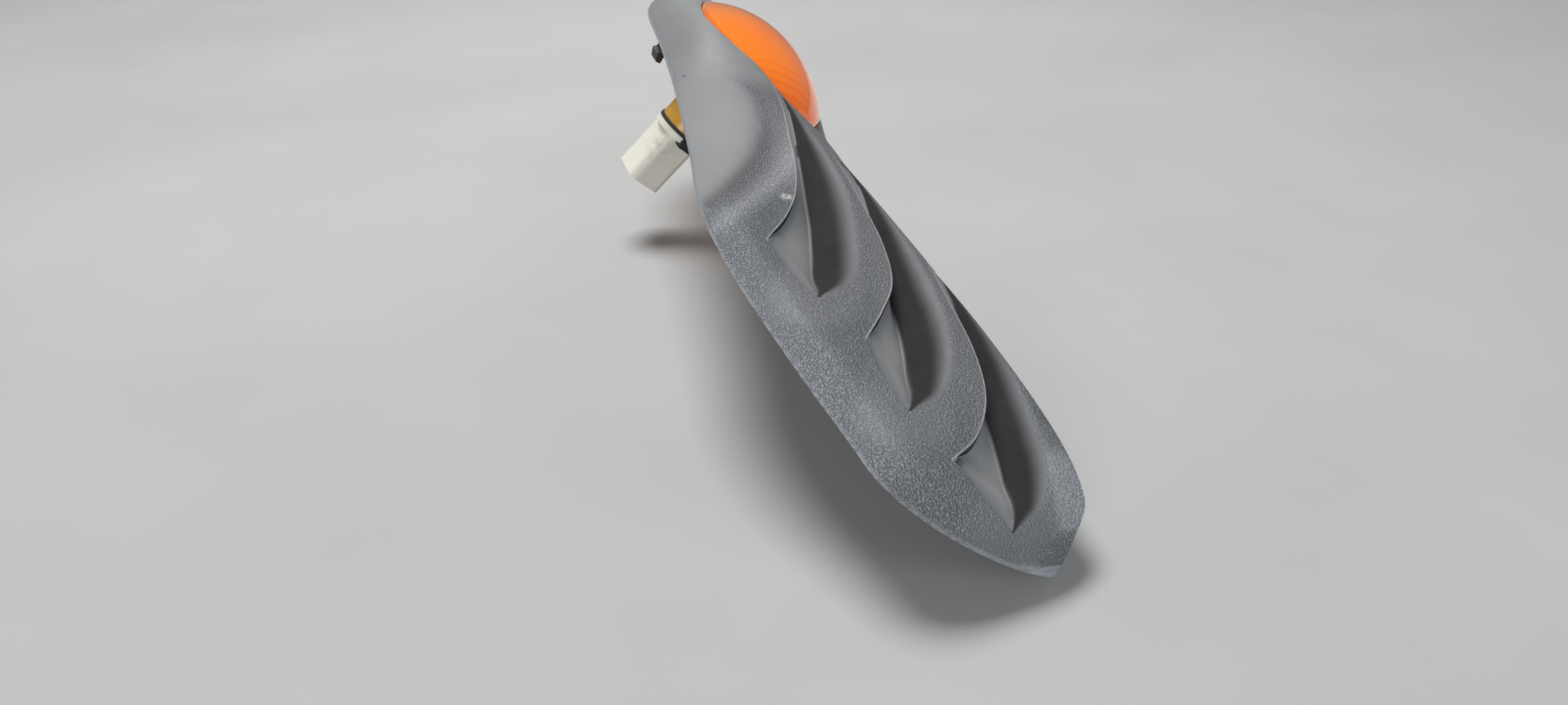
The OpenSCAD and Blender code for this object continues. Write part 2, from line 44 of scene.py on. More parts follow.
VIEW_RIGHT = Vector((-0.36959, -0.54665, -0.75138))
VIEW_UP = Vector((0.63514, -0.73886, 0.22512))
VIEW_AHEAD = Vector((0.67823, 0.39403, -0.62028))
VIEW_FROM = Vector((-0.27793, -0.08572, 0.17638))
FILM_WIDTH = 36
FOCAL_LENGTH = 27.73
NEAREST_SEEN = 0.01

camera = bpy.data.objects.new("camera", bpy.data.cameras.new("camera"))
bpy.context.scene.collection.objects.link(camera)
camera.data.sensor_width = FILM_WIDTH
camera.data.lens = FOCAL_LENGTH
camera.data.clip_start = NEAREST_SEEN
turned = Matrix((VIEW_RIGHT, VIEW_UP, -VIEW_AHEAD)).transposed()
camera.matrix_world = Matrix.Translation(VIEW_FROM) @ turned.to_4x4()
bpy.context.scene.camera = camera
bpy.context.scene.view_settings.view_transform = "Standard"


# The trim: one moulded shell of grained grey plastic, open at the back, with three gills that lie
# over each other like scales. Places on it are s, forward from the tail tip, w, up from the
# crest, and n, out of the wing, all in millimetres.
MM = 0.001
TRIM_LENGTH = 232.0
TAIL_TO_BULB = 178.5
CREST_UP = 4.0
WALL = 2.4
RIM_EDGE = 0.9
TIP_GAP = 0.35
LEAST_REACH = 0.35
LEAST_SKIN = 0.6
LEAST_BLANK, LEAST_HOLLOW = 0.8, 0.3
HOLLOW_FOOT = 3
RIM_CROWDING = 0.35
SKIN_ROWS, SKIN_COLUMNS = 230, 96
HOLLOW_ROWS, HOLLOW_COLUMNS = 90, 36
UPPER_REACH = ((0, 32), (22, 33.6), (42, 36.7), (70, 39.4), (93, 38), (122, 31), (159, 24.6),
               (185, 21.6), (216, 19), (232, 17))
LOWER_REACH = ((0, 15), (15, 14.5), (30, 16), (60, 20), (90, 25), (125, 29.4), (150, 31),
               (165, 31.8), (180, 33.5), (195, 32.8), (212, 26), (232, 22))
CREST = ((0, 18.5), (20, 17.5), (50, 18.2), (75, 17.3), (100, 16.2), (125, 14.4), (150, 13.8),
         (172, 15.2), (192, 14.4), (212, 11.5), (232, 9))
UPPER_ENDS = (20, 1.95, 30, 2)
LOWER_ENDS = (30, 1.35, 32, 2)
CREST_ENDS = (44, 2.25, 26, 2.2)
NOSE_DROP, NOSE_DROP_START = 10, 90
TAIL_DIP, TAIL_DIP_END = 5, 42
FOLD_START, FOLD_RUN = 91, 51
FOLD_DEPTH = 1.9
FOLD_WIDTH = 3.6
LENS_FALL = 3.3


def place(s, w, n):
    return ((s - TAIL_TO_BULB) * MM, -n * MM, (w + CREST_UP) * MM)


def ease(x):
    c = min(max(x, 0.0), 1.0)
    return c * c * (3 - 2 * c)


def through(stations, x):
    """A smooth curve through stations of place and value."""
    last = len(stations) - 1
    i = 0
    while i < last - 1 and x >= stations[i + 1][0]:
        i += 1

    def slope(k):
        a, b = stations[max(k - 1, 0)], stations[min(k + 1, last)]
        return (b[1] - a[1]) / (b[0] - a[0])

    (x0, y0), (x1, y1) = stations[i], stations[i + 1]
    d = x1 - x0
    t = min(max((x - x0) / d, 0.0), 1.0)
    return ((1 + 2 * t) * (1 - t) ** 2 * y0 + t * (1 - t) ** 2 * d * slope(i)
            + t * t * (3 - 2 * t) * y1 - t * t * (1 - t) * d * slope(i + 1))


def round_end(x, length, power):
    """1 along the shell, rounded off to 0 over the last length before an end."""
    if x >= length:
        return 1.0
    return 0.0 if x <= 0 else (1 - (1 - x / length) ** power) ** (1 / power)


def outline(stations, ends, s):
    """A reach along the shell, rounded off at the tail and the nose by a length and a power."""
    tail, tail_power, nose, nose_power = ends
    return (through(stations, s) * round_end(s, tail, tail_power)
            * round_end(TRIM_LENGTH - s, nose, nose_power))


def base_w(s):
    """The crest's line, which drops towards the nose."""
    return -NOSE_DROP * ease((s - NOSE_DROP_START) / (TRIM_LENGTH - NOSE_DROP_START))


def mid_w(s):
    """The line between the shell's upper and lower side, which dips near the tail."""
    return base_w(s) - TAIL_DIP * ease(s / 9) * ease((TAIL_DIP_END - s) / 32)


def upper(s):
    return base_w(s) + outline(UPPER_REACH, UPPER_ENDS, s)


def lower(s):
    return base_w(s) - outline(LOWER_REACH, LOWER_ENDS, s)


def crest(s):
    return max(outline(CREST, CREST_ENDS, s), RIM_EDGE)


def fill(s, above):
    """How full the skin is from crest to rim: 1 would be a flat slope, and more is squarer."""
    if above:
        return 1.55 + 1.4 * ease((s - 95) / 65) + 3.4 * ease((s - 155) / 30)
    return 1.42 + 1.8 * ease((s - 148) / 26)


def fold_line(s):
    """How far along the fold a place lies, from 0 to 1, and the fold's height there."""
    t = (s - FOLD_START) / FOLD_RUN
    return t, 38 - 62 * t + 32 * t * t


def fold(s, w):
    """The soft fold between the smooth lamp panel and the grained flank."""
    t, fold_w = fold_line(s)
    d = (w - fold_w) / FOLD_WIDTH
    return FOLD_DEPTH * math.exp(-d * d) * ease((t + 0.25) / 0.3) * ease((1.15 - t) / 0.6)


def fall(s, w):
    """How much lower the flank runs round the lower side of the lens."""
    return (LENS_FALL * ease((s - 133) / 27) * (1 + 0.35 * ease((s - 154) / 10))
            * ease((214 - s) / 18) * ease((3 - w) / 13) * (1 - 0.6 * ease((-w - 22) / 14)))


def skin(s, w):
    """How far the shell's outside stands out of the wing."""
    m = mid_w(s)
    reach = max(upper(s) - m if w > m else m - lower(s), 0.1)
    u = min(max((w - m) / reach, -1.0), 1.0)
    return max(RIM_EDGE + (crest(s) - RIM_EDGE) * (1 - abs(u) ** fill(s, u > 0))
               - fold(s, w) - fall(s, w), LEAST_SKIN)


def solid(name, points, faces):
    mesh = bpy.data.meshes.new(name)
    mesh.from_pydata(points, [], faces)
    mesh.validate()
    mesh.update()
    piece = bpy.data.objects.new(name, mesh)
    bpy.context.scene.collection.objects.link(piece)
    return piece


def shell_blank(name, inset, rows, columns):
    """The outside of the trim, or with an inset the hollow behind it."""
    middle, half = TRIM_LENGTH / 2, TRIM_LENGTH / 2 - inset - TIP_GAP
    top = []
    for i in range(rows + 1):
        s = middle - half * math.cos(math.pi * i / rows)
        m, hi, lo = mid_w(s), upper(s), lower(s)
        for j in range(columns + 1):
            v = 2 * j / columns - 1
            u = RIM_CROWDING * math.sin(math.pi / 2 * v) + (1 - RIM_CROWDING) * v
            w = m + u * ((hi - m) if u > 0 else (m - lo))
            inner_reach = max((hi - m if u > 0 else m - lo) - inset, LEAST_REACH)
            n = max(skin(s, w) - inset, LEAST_HOLLOW if inset else LEAST_BLANK)
            top.append(place(s, m + u * inner_reach, n))
    k = columns + 1
    rim = list(range(k)) + [i * k + columns for i in range(1, rows + 1)]
    rim += [rows * k + columns - j for j in range(1, k)] + [(rows - i) * k for i in range(1, rows)]
    foot_y = HOLLOW_FOOT * MM if inset else 0.0
    foot = [(top[q][0], foot_y, top[q][2]) for q in rim]
    count, loop = len(top), len(rim)
    faces = [(i * k + j, i * k + j + k, i * k + j + k + 1, i * k + j + 1)
             for i in range(rows) for j in range(columns)]
    for q in range(loop):
        r = (q + 1) % loop
        faces.append((rim[q], rim[r], count + r, count + q))
    faces.append(tuple(count + q for q in range(loop)))
    return solid(name, top + foot, faces)


def outward(piece):
    """Turns a closed mesh's faces so that they all face out."""
    b = bmesh.new()
    b.from_mesh(piece.data)
    bmesh.ops.recalc_face_normals(b, faces=b.faces)
    if b.calc_volume(signed=True) < 0:
        bmesh.ops.reverse_faces(b, faces=b.faces)
    b.to_mesh(piece.data)
    b.free()
    return piece


def carve(piece, tool, how):
    """Cuts, joins or keeps the common part of two solids, and throws the tool away."""
    outward(piece)
    outward(tool)
    step = piece.modifiers.new(how, "BOOLEAN")
    step.operation = how
    step.solver = "MANIFOLD"
    step.object = tool
    graph = bpy.context.evaluated_depsgraph_get()
    made = bpy.data.meshes.new_from_object(piece.evaluated_get(graph))
    piece.modifiers.clear()
    piece.data = made
    bpy.data.objects.remove(tool)
    return piece


def add_under_skin(piece, part):
    """Joins to the shell as much of a part as lies under the shell's outside."""
    kept = carve(part, shell_blank("mould", 0.0, SKIN_ROWS, SKIN_COLUMNS), "INTERSECT")
    return carve(piece, kept, "UNION")


# The three gills: under each crisp lip a slot, then a lit slope down to a sharp valley, a concave
# wall that the plastic paints dark as painted shade, and a soft roll back to the skin. Each has a
# pocket of its own wall behind it, moulded with the shell.
GILL_LIP = (((79, 31), (87, 24), (97, 18), (112, 12), (132, 5), (154, -1)),
            ((46, 25), (53, 19), (62, 13), (77, 8), (96, 4), (117, -1)),
            ((17, 20), (21, 14), (29, 9), (42, 6), (58, 3), (76, -2)))
GILL_REAR = (((59, 29), (65, 22), (78, 16), (98, 9), (124, 3), (149, -2)),
             ((28, 24), (33, 18), (45, 12), (63, 7), (86, 2), (112, -3)),
             ((4, 12), (9, 7), (17, 4), (30, 2.5), (50, 0), (71, -4)))
GILL_VALLEY = (((59, 29), (69, 23), (82, 17.5), (101, 10.5), (125, 4), (149, -2)),
               ((28, 24), (37, 18), (49, 13.5), (66, 9), (88, 3), (112, -3)),
               ((4, 12), (12, 8), (21, 6.5), (34, 5), (52, 1.5), (71, -4)))
GILLS = range(3)
GILL_DEPTH = 7.0
GILL_STEP = 0.6
GILL_UNDERCUT = 2.0
GILL_ROLL = 3.2
GILL_HOLLOW = 1.35
GILL_SAG = 0.25
POCKET_WALL = 1.8
LIP_START = 0.2
LIP_EDGE = 0.45
LIP_GAP = 0.8
LIP_ROUNDING = 0.14
GROOVE_DEPTH = 0.9
ABOVE_SKIN = 3.2
UNDER_LIP = (0.5, 0.85)
DOWN_SLOPE = (-0.66, -0.75)
OVER_ROLL = (-0.15, -0.985)
BEHIND_WALL = (-0.35, -0.94)
FIRST_CUT, CUT_SPAN = 0.004, 0.992
POCKET_CUTS, GILL_CUTS = (40, 3, 8), (120, 5, 16)


def toward(start, way, distance):
    return start[0] + distance * way[0], start[1] + distance * way[1]


def along(guides, t):
    x = t * (len(guides) - 1)
    return tuple(through([(i, g[c]) for i, g in enumerate(guides)], x) for c in (0, 1))


def gill_opened(t):
    """How far a gill has opened, from its upper end at 0 to its lower end at 1."""
    return ease(t / 0.12) * ease((1 - t) / 0.25)


def gill_end(g, t):
    """Where a gill's wall has rolled back into the skin."""
    roll = GILL_ROLL * (0.2 + 0.8 * gill_opened(t))
    return toward(along(GILL_REAR[g], t), OVER_ROLL, roll)


def gill_lip(g, t):
    """The lip's edge, which starts from the wall's own upper end."""
    if t >= LIP_START:
        return along(GILL_LIP[g], (t - LIP_START) / (1 - LIP_START))
    k = t / LIP_START
    a, b = GILL_REAR[g][0], GILL_LIP[g][0]
    return a[0] + (b[0] - a[0]) * k, a[1] + (b[1] - a[1]) * k + math.sin(math.pi * k)


def gill_section(g, t, fat, slope_steps, wall_steps):
    """One cut across a gill, from the lip to the roll. With fat, the outside of its pocket."""
    lip, valley, end = gill_lip(g, t), along(GILL_VALLEY[g], t), gill_end(g, t)
    opened = gill_opened(t)
    hang = ease((t - LIP_START) / 0.12) * ease((1.02 - t) / 0.2)
    deep = (GILL_DEPTH - g * GILL_STEP) * ease((t + 0.04) / 0.34) * ease((1 - t) / 0.45) + 0.12
    drop = 0.14 + 0.36 * ease((t - 0.45) / 0.3)
    lip_n, end_n, valley_n = skin(*lip), skin(*end), skin(*valley) - deep
    edge = 0.05 + LIP_EDGE * hang
    gap = LIP_GAP * hang * (1 - 0.5 * ease((t - 0.45) / 0.2))
    under_n = lip_n - max(edge + gap + 0.1, (lip_n - valley_n) * drop * hang)
    bend = 1.6 - 0.6 * ease(t / 0.3)
    out = (BEHIND_WALL[0] * fat, BEHIND_WALL[1] * fat)
    if fat:
        start = (lip[0] - out[0], lip[1] - out[1])
        section = [(*start, lip_n + ABOVE_SKIN), (*start, lip_n - fat * 0.6)]
    else:
        start = toward(lip, UNDER_LIP, LIP_ROUNDING * hang)
        slot = toward(lip, UNDER_LIP, GILL_UNDERCUT * hang)
        groove = GROOVE_DEPTH * hang * (1 - ease((t - 0.40) / 0.15)) + 0.02
        section = [(*start, lip_n + ABOVE_SKIN), (*start, lip_n + 0.02),
                   (*lip, lip_n - 0.02 - 0.12 * hang), (*lip, lip_n - edge),
                   (*slot, skin(*slot) - edge - 0.03), (*slot, skin(*slot) - edge - gap - 0.05),
                   (*lip, under_n - groove),
                   (*toward(lip, DOWN_SLOPE, 0.35 * hang), under_n - groove - 0.03),
                   (*toward(lip, DOWN_SLOPE, 0.5 * hang), under_n - 0.05)]
    for i in range(0 if fat else 1, slope_steps):
        k = i / slope_steps
        down = k ** bend
        p = tuple((lip[c] - out[c]) * (1 - k) + valley[c] * k for c in (0, 1))
        section.append((*p, under_n * (1 - down) + valley_n * down
                        - GILL_SAG * opened * math.sin(math.pi * k) - fat * (0.6 + 0.4 * k)))
    for i in range(wall_steps):
        k = i / wall_steps
        p = tuple(valley[c] + (end[c] - valley[c]) * k + out[c] * k for c in (0, 1))
        section.append((*p, skin(*p) - deep * (1 - k) ** GILL_HOLLOW - fat * (1 - 0.4 * k)))
    last = (end[0] + out[0], end[1] + out[1])
    section += [(*last, end_n - fat * 0.6), (*last, end_n + ABOVE_SKIN)]
    return [place(*p) for p in section]


def gill_tool(name, g, fat, cuts):
    """A solid through cuts across a gill: how many, then steps down the slope and up the wall."""
    rings, slope_steps, wall_steps = cuts
    points, q = [], 0
    for i in range(rings + 1):
        t = FIRST_CUT + CUT_SPAN * i / rings
        section = gill_section(g, t, fat, slope_steps, wall_steps)
        q = len(section)
        points += section
    faces = [tuple(range(q)), tuple(rings * q + q - 1 - j for j in range(q))]
    for i in range(rings):
        for j in range(q):
            a, b = i * q + j, i * q + (j + 1) % q
            faces.append((a, a + q, b + q, b))
    return solid(name, points, faces)


trim = shell_blank("moulded_trim", 0.0, SKIN_ROWS, SKIN_COLUMNS)
trim = carve(trim, shell_blank("hollow", WALL, HOLLOW_ROWS, HOLLOW_COLUMNS), "DIFFERENCE")
for g in GILLS:
    trim = add_under_skin(trim, gill_tool("pocket", g, POCKET_WALL, POCKET_CUTS))


# Moulded with the shell behind its skin: the collar that the lens stands in, and the bosses and
# seats for the screws, the push clips and the edge hooks. The openings are cut through last.
LENS_MIDDLE = (2.0, -8.0)
LENS_HALF = (26.0, 20.0)
LENS_GAP = 0.35
FLANGE_GAP = 2.1
FLANGE_ROOM = 4.2
COLLAR_WALL = 2.35
SCREW_X = (LENS_MIDDLE[0] - 31.5, LENS_MIDDLE[0] + 31.5)
SCREW_BOSS, SCREW_BORE = 3.3, 1.3
CLIP_BOSS = 4.0
CLIP_PLACES = ((34 - TAIL_TO_BULB, 10.0), (112 - TAIL_TO_BULB, 4.0))
HOOK_PLACES = ((13.5, upper(192) - 2.2 + CREST_UP, 1), (21.5, lower(200) + 6 + CREST_UP, -1))
HOOK_SEAT, HOOK_SEAT_TOP, HOOK_SEAT_DEEP = 2.6, 6, 2
HOOK_SLOT, HOOK_SLOT_TOP, HOOK_SLOT_DEEP = 2.1, 4.4, 1.4
HOOK_FOOT, SCREW_FOOT, CLIP_FOOT = 0.6, 1.6, 2.0
BORE_FOOT, BORE_TOP = -1, 8
BEHIND_RIM, PAST_SKIN, PAST_LENS = -2, 24, 30
OVAL_SIDES, ROUND_SIDES = 160, 48


def straight_rod(name, middle, half, n0, n1, sides):
    """A rod, round or oval, that stands straight out of the wing from n0 to n1."""
    turns = [2 * math.pi * i / sides for i in range(sides)]
    ring = [((middle[0] + half[0] * math.cos(a)) * MM, (middle[1] + half[1] * math.sin(a)) * MM)
            for a in turns]
    points = [(x, -n0 * MM, z) for x, z in ring] + [(x, -n1 * MM, z) for x, z in ring]
    faces = [tuple(range(sides)), tuple(2 * sides - 1 - i for i in range(sides))]
    faces += [(i, sides + i, sides + (i + 1) % sides, (i + 1) % sides) for i in range(sides)]
    return solid(name, points, faces)


def lens_oval(name, grow, n0, n1):
    half = (LENS_HALF[0] + grow, LENS_HALF[1] + grow)
    return straight_rod(name, LENS_MIDDLE, half, n0, n1, OVAL_SIDES)


def round_rod(name, x, z, radius, n0, n1):
    return straight_rod(name, (x, z), (radius, radius), n0, n1, ROUND_SIDES)


def block(name, x, half, n0, n1, z, reach):
    points = [(a * MM, -n * MM, b * MM) for a in (x - half, x + half) for n in (n0, n1)
              for b in sorted((z, z + reach))]
    faces = [(0, 2, 3, 1), (4, 5, 7, 6), (0, 1, 5, 4), (2, 6, 7, 3), (0, 4, 6, 2), (1, 3, 7, 5)]
    return solid(name, points, faces)


backing = [lens_oval("lens_collar", COLLAR_WALL, FLANGE_ROOM, PAST_SKIN)]
backing += [round_rod("screw_boss", x, LENS_MIDDLE[1], SCREW_BOSS, SCREW_FOOT, PAST_SKIN)
            for x in SCREW_X]
backing += [round_rod("clip_boss", x, z, CLIP_BOSS, CLIP_FOOT, PAST_SKIN) for x, z in CLIP_PLACES]
backing += [block("hook_seat", x, HOOK_SEAT, HOOK_FOOT, HOOK_SEAT_TOP, z, HOOK_SEAT_DEEP * d)
            for x, z, d in HOOK_PLACES]
for part in backing:
    trim = add_under_skin(trim, part)
for g in GILLS:
    trim = carve(trim, gill_tool("gill", g, 0.0, GILL_CUTS), "DIFFERENCE")
openings = [lens_oval("lens_opening", LENS_GAP, BEHIND_RIM, PAST_LENS)]
openings += [lens_oval("flange_room", FLANGE_GAP, BEHIND_RIM, FLANGE_ROOM)]
openings += [round_rod("screw_bore", x, LENS_MIDDLE[1], SCREW_BORE, BORE_FOOT, BORE_TOP)
             for x in SCREW_X]
openings += [block("hook_slot", x, HOOK_SLOT, BEHIND_RIM, HOOK_SLOT_TOP, z, -HOOK_SLOT_DEEP * d)
             for x, z, d in HOOK_PLACES]
for opening in openings:
    trim = carve(trim, opening, "DIFFERENCE")


# The moulding's finish changes over the shell: pebbled on the flank, smooth on the lamp panel and
# in the gills. Painted light and shade are marked as well: painted shade on the flank, the scales,
# the fold and the gills' rear walls, painted sheen on the rim band and the tail shoulder, and
# painted highlights on the gill slopes, lips, valleys, fold, rim edge and tail edge. Each is
# marked on the mesh for the plastic.
MARKS = ("grained", "flank", "sunk", "rear_wall", "scale_shade", "fold_shade", "fold_highlight")
PANEL_START, NOSE_START = 88, 142
PANEL_EDGE_W = 8.0
RIM_BAND = 9.5
SCALE_REACH = 14
LINE_REACH = 4.0
RIM_HIGHLIGHT, TAIL_HIGHLIGHT = 0.22, 0.5
SMOOTH_BELOW = math.radians(34)
VALLEY_STEPS, LIP_STEPS = 120, 300
PLACES_AT_ONCE = 4000


def mark(piece, name, values, domain="POINT"):
    layer = piece.data.attributes.new(name, "FLOAT", domain)
    layer.data.foreach_set("value", values)


def nearest(places, curves):
    """Distance of each place to the nearest curve, minus on the rear side of it."""
    best = np.full(len(places), 1e9)
    for curve in curves:
        steps = np.diff(curve, axis=0)
        steps /= np.linalg.norm(steps, axis=1, keepdims=True)
        for i in range(0, len(places), PLACES_AT_ONCE):
            some = places[i:i + PLACES_AT_ONCE]
            d = some[:, None, :] - curve[None, :-1, :]
            k = np.argmin((d ** 2).sum(2), axis=1)
            near = d[np.arange(len(some)), k]
            side = steps[k, 0] * near[:, 1] - steps[k, 1] * near[:, 0]
            far = np.linalg.norm(near, axis=1)
            old = best[i:i + PLACES_AT_ONCE]
            far = np.where(far < np.abs(old), np.where(side < 0, -far, far), old)
            best[i:i + PLACES_AT_ONCE] = far
    return best


def sample(line, count):
    """A line of each gill as a row of places."""
    return [np.array([line(g, i / count) for i in range(count + 1)]) for g in GILLS]


def marks_at(vertex, s, w, side, end):
    """Each mark at one point of the shell, from its distances to the nearest valley, minus behind
    it, and to the end of the roll. The flank mark is painted shade, and goes below 0 for painted
    sheen on the rim band and shoulder."""
    n = -vertex.co.y / MM
    outside = lower(s) <= w <= upper(s) and 0 < s < TRIM_LENGTH
    below = skin(s, w) - n if outside else 0.0
    on_skin = 1 - ease(below / 0.5)
    faces_out = vertex.normal.y < 0.15
    t, fold_w = fold_line(s)
    panel_w = PANEL_EDGE_W if t > 1 else fold_w
    panel = max(ease((w - panel_w + 1.5) / 7), ease((s - NOSE_START) / 14))
    panel *= ease((s - PANEL_START) / 6)
    # The rim band and the tail shoulder get painted sheen, and the rest of the flank painted
    # shade.
    band = ease((w - upper(s) + RIM_BAND) / 5) * ease((s - 8) / 12)
    shoulder = ease((6 - w) / 5) * ease((26 - s) / 12) * ease((s - 1.5) / 3) * on_skin
    flank = (1 - panel) * (1 - max(1.5 * band, 1.7 * shoulder))
    far = ease((12 - w) / 14) * ease((s - 38) / 40)
    near_gill = ease((11 - abs(side)) / 6)
    grained = ((1 - 0.92 * panel) * (1 - 0.3 * far) * (1 - 0.4 * near_gill)
               * (1 - 0.9 * ease(below / 0.7)) * (1 - 0.3 * shoulder))
    sunk = min(max(below / GILL_DEPTH, 0.0), 1.0) if faces_out else 0.1
    up_the_wall = abs(side) / (abs(side) + end + 0.01)
    in_gill = faces_out and n > 2 and 0.02 < below < 9 and abs(side) < SCALE_REACH
    # The gills' rear walls get painted shade.
    rear_wall = ease(-side / 0.4) * (1 - ease((up_the_wall - 0.45) / 0.55)) if in_gill else 0.0
    # Painted shade on the scales beside the gills.
    scale_shade = (1 - panel) * ease((SCALE_REACH - abs(side)) / 9) * ease((w + 12) / 10) * on_skin
    across = (w - fold_w) / FOLD_WIDTH
    on_fold = below < 0.4 and n > RIM_EDGE
    by_fold = ease((t + 0.3) / 0.2) * ease((0.95 - t) / 0.7) if on_fold else 0.0
    # Painted shade on the panel side of the fold and a painted highlight on its flank side.
    fold_shade = math.exp(-((across - 0.8) / 0.9) ** 2) * by_fold
    fold_highlight = math.exp(-((across + 1.5) / 1.1) ** 2) * by_fold
    return grained, flank, sunk, rear_wall, scale_shade, fold_shade, fold_highlight


def edge_highlight_at(face):
    """Painted highlight along the flat rim and round the tail tip's edge."""
    s, n = face.center.x / MM + TAIL_TO_BULB, -face.center.y / MM
    on_rim = 0.05 < n < 0.8 and abs(face.normal.y) < 0.8
    tail_edge = TAIL_HIGHLIGHT * ease(1.2 - s) * ease((n - 0.2) / 0.4) * (1 - ease((n - 1.0) / 1.4))
    return max(RIM_HIGHLIGHT if on_rim else 0.0, tail_edge)


points = trim.data.vertices
places = np.array([(p.co.x / MM + TAIL_TO_BULB, p.co.z / MM - CREST_UP) for p in points])
from_valley = nearest(places, sample(lambda g, t: along(GILL_VALLEY[g], t), VALLEY_STEPS))
from_end = np.abs(nearest(places, sample(gill_end, VALLEY_STEPS)))
from_lip = np.abs(nearest(places, sample(lambda g, t: along(GILL_LIP[g], t), LIP_STEPS)))
marked = [marks_at(p, s, w, side, end)
          for p, (s, w), side, end in zip(points, places, from_valley, from_end)]
for name, values in zip(MARKS, zip(*marked)):
    mark(trim, name, values)
mark(trim, "from_lip", np.minimum(from_lip, LINE_REACH))
mark(trim, "from_valley", np.minimum(np.abs(from_valley), LINE_REACH))
mark(trim, "edge_highlight", [edge_highlight_at(face) for face in trim.data.polygons], "FACE")
trim.data.shade_smooth()
trim.data.set_sharp_from_angle(angle=SMOOTH_BELOW)


# The plastic: dark grey, moulded with a fine pebbled grain, with a painted highlight on its tops
# and painted shade in its pits. A pale scuff on the first lip, a rub on the second scale and a
# speck are wear.
GRAIN_CELLS, GRAIN_SOFTNESS, GRAIN_HEIGHT = 2350, 0.35, 0.00036
STIR_CELLS, STIR = 800, 0.0005
FINE_CELLS, FINE_HEIGHT = 7000, 0.00004
GREYS = (0.232, 0.238, 0.248), (0.272, 0.277, 0.286)
FLANK_SHADE_GREY, FLANK_SHADE = (0.165, 0.172, 0.184), 0.7
BAND_SHEEN_GREY, BAND_SHEEN = (0.42, 0.44, 0.47), -1.6
PIT_SHADE_GREY, PIT_SHADE = (0.090, 0.100, 0.116), 0.85
TOP_HIGHLIGHT_GREY, TOP_HIGHLIGHT = (0.42, 0.44, 0.475), 0.4
SCALE_SHADE_GREY, SCALE_SHADE = (0.135, 0.135, 0.136), 0.3
FOLD_SHADE_GREY, FOLD_SHADE = (0.105, 0.105, 0.107), 0.72
FOLD_HIGHLIGHT_GREY, FOLD_HIGHLIGHT = (0.56, 0.57, 0.60), 0.9
LIT_SLOPE_GREY, SLOPE_LIGHT = (0.33, 0.33, 0.33), 0.7
WALL_SHADE_BLACKS, WALL_SHADE = ((0.003, 0.003, 0.004), (0.015, 0.015, 0.017)), 0.96
HIGHLIGHT_LINE_GREY = (0.42, 0.42, 0.43)
EDGE_HIGHLIGHT_GREY = (0.50, 0.54, 0.60)
SCUFF_PLACE, SCUFF_RADIUS, SCUFF_GREY = (-84.6, -10.3, 25.7), 1.9, (0.62, 0.62, 0.60)
RUB_PLACE, RUB_RADIUS, RUB_GREY = (-51.3, -11.1, 18.2), 4.0, (0.42, 0.42, 0.42)
RUB_STRETCH = (0.7, 1, 2.2)
SPECK_PLACE, SPECK_RADIUS, SPECK_GREY = (-17.4, -3.4, 21.8), 0.7, (0.08, 0.08, 0.08)


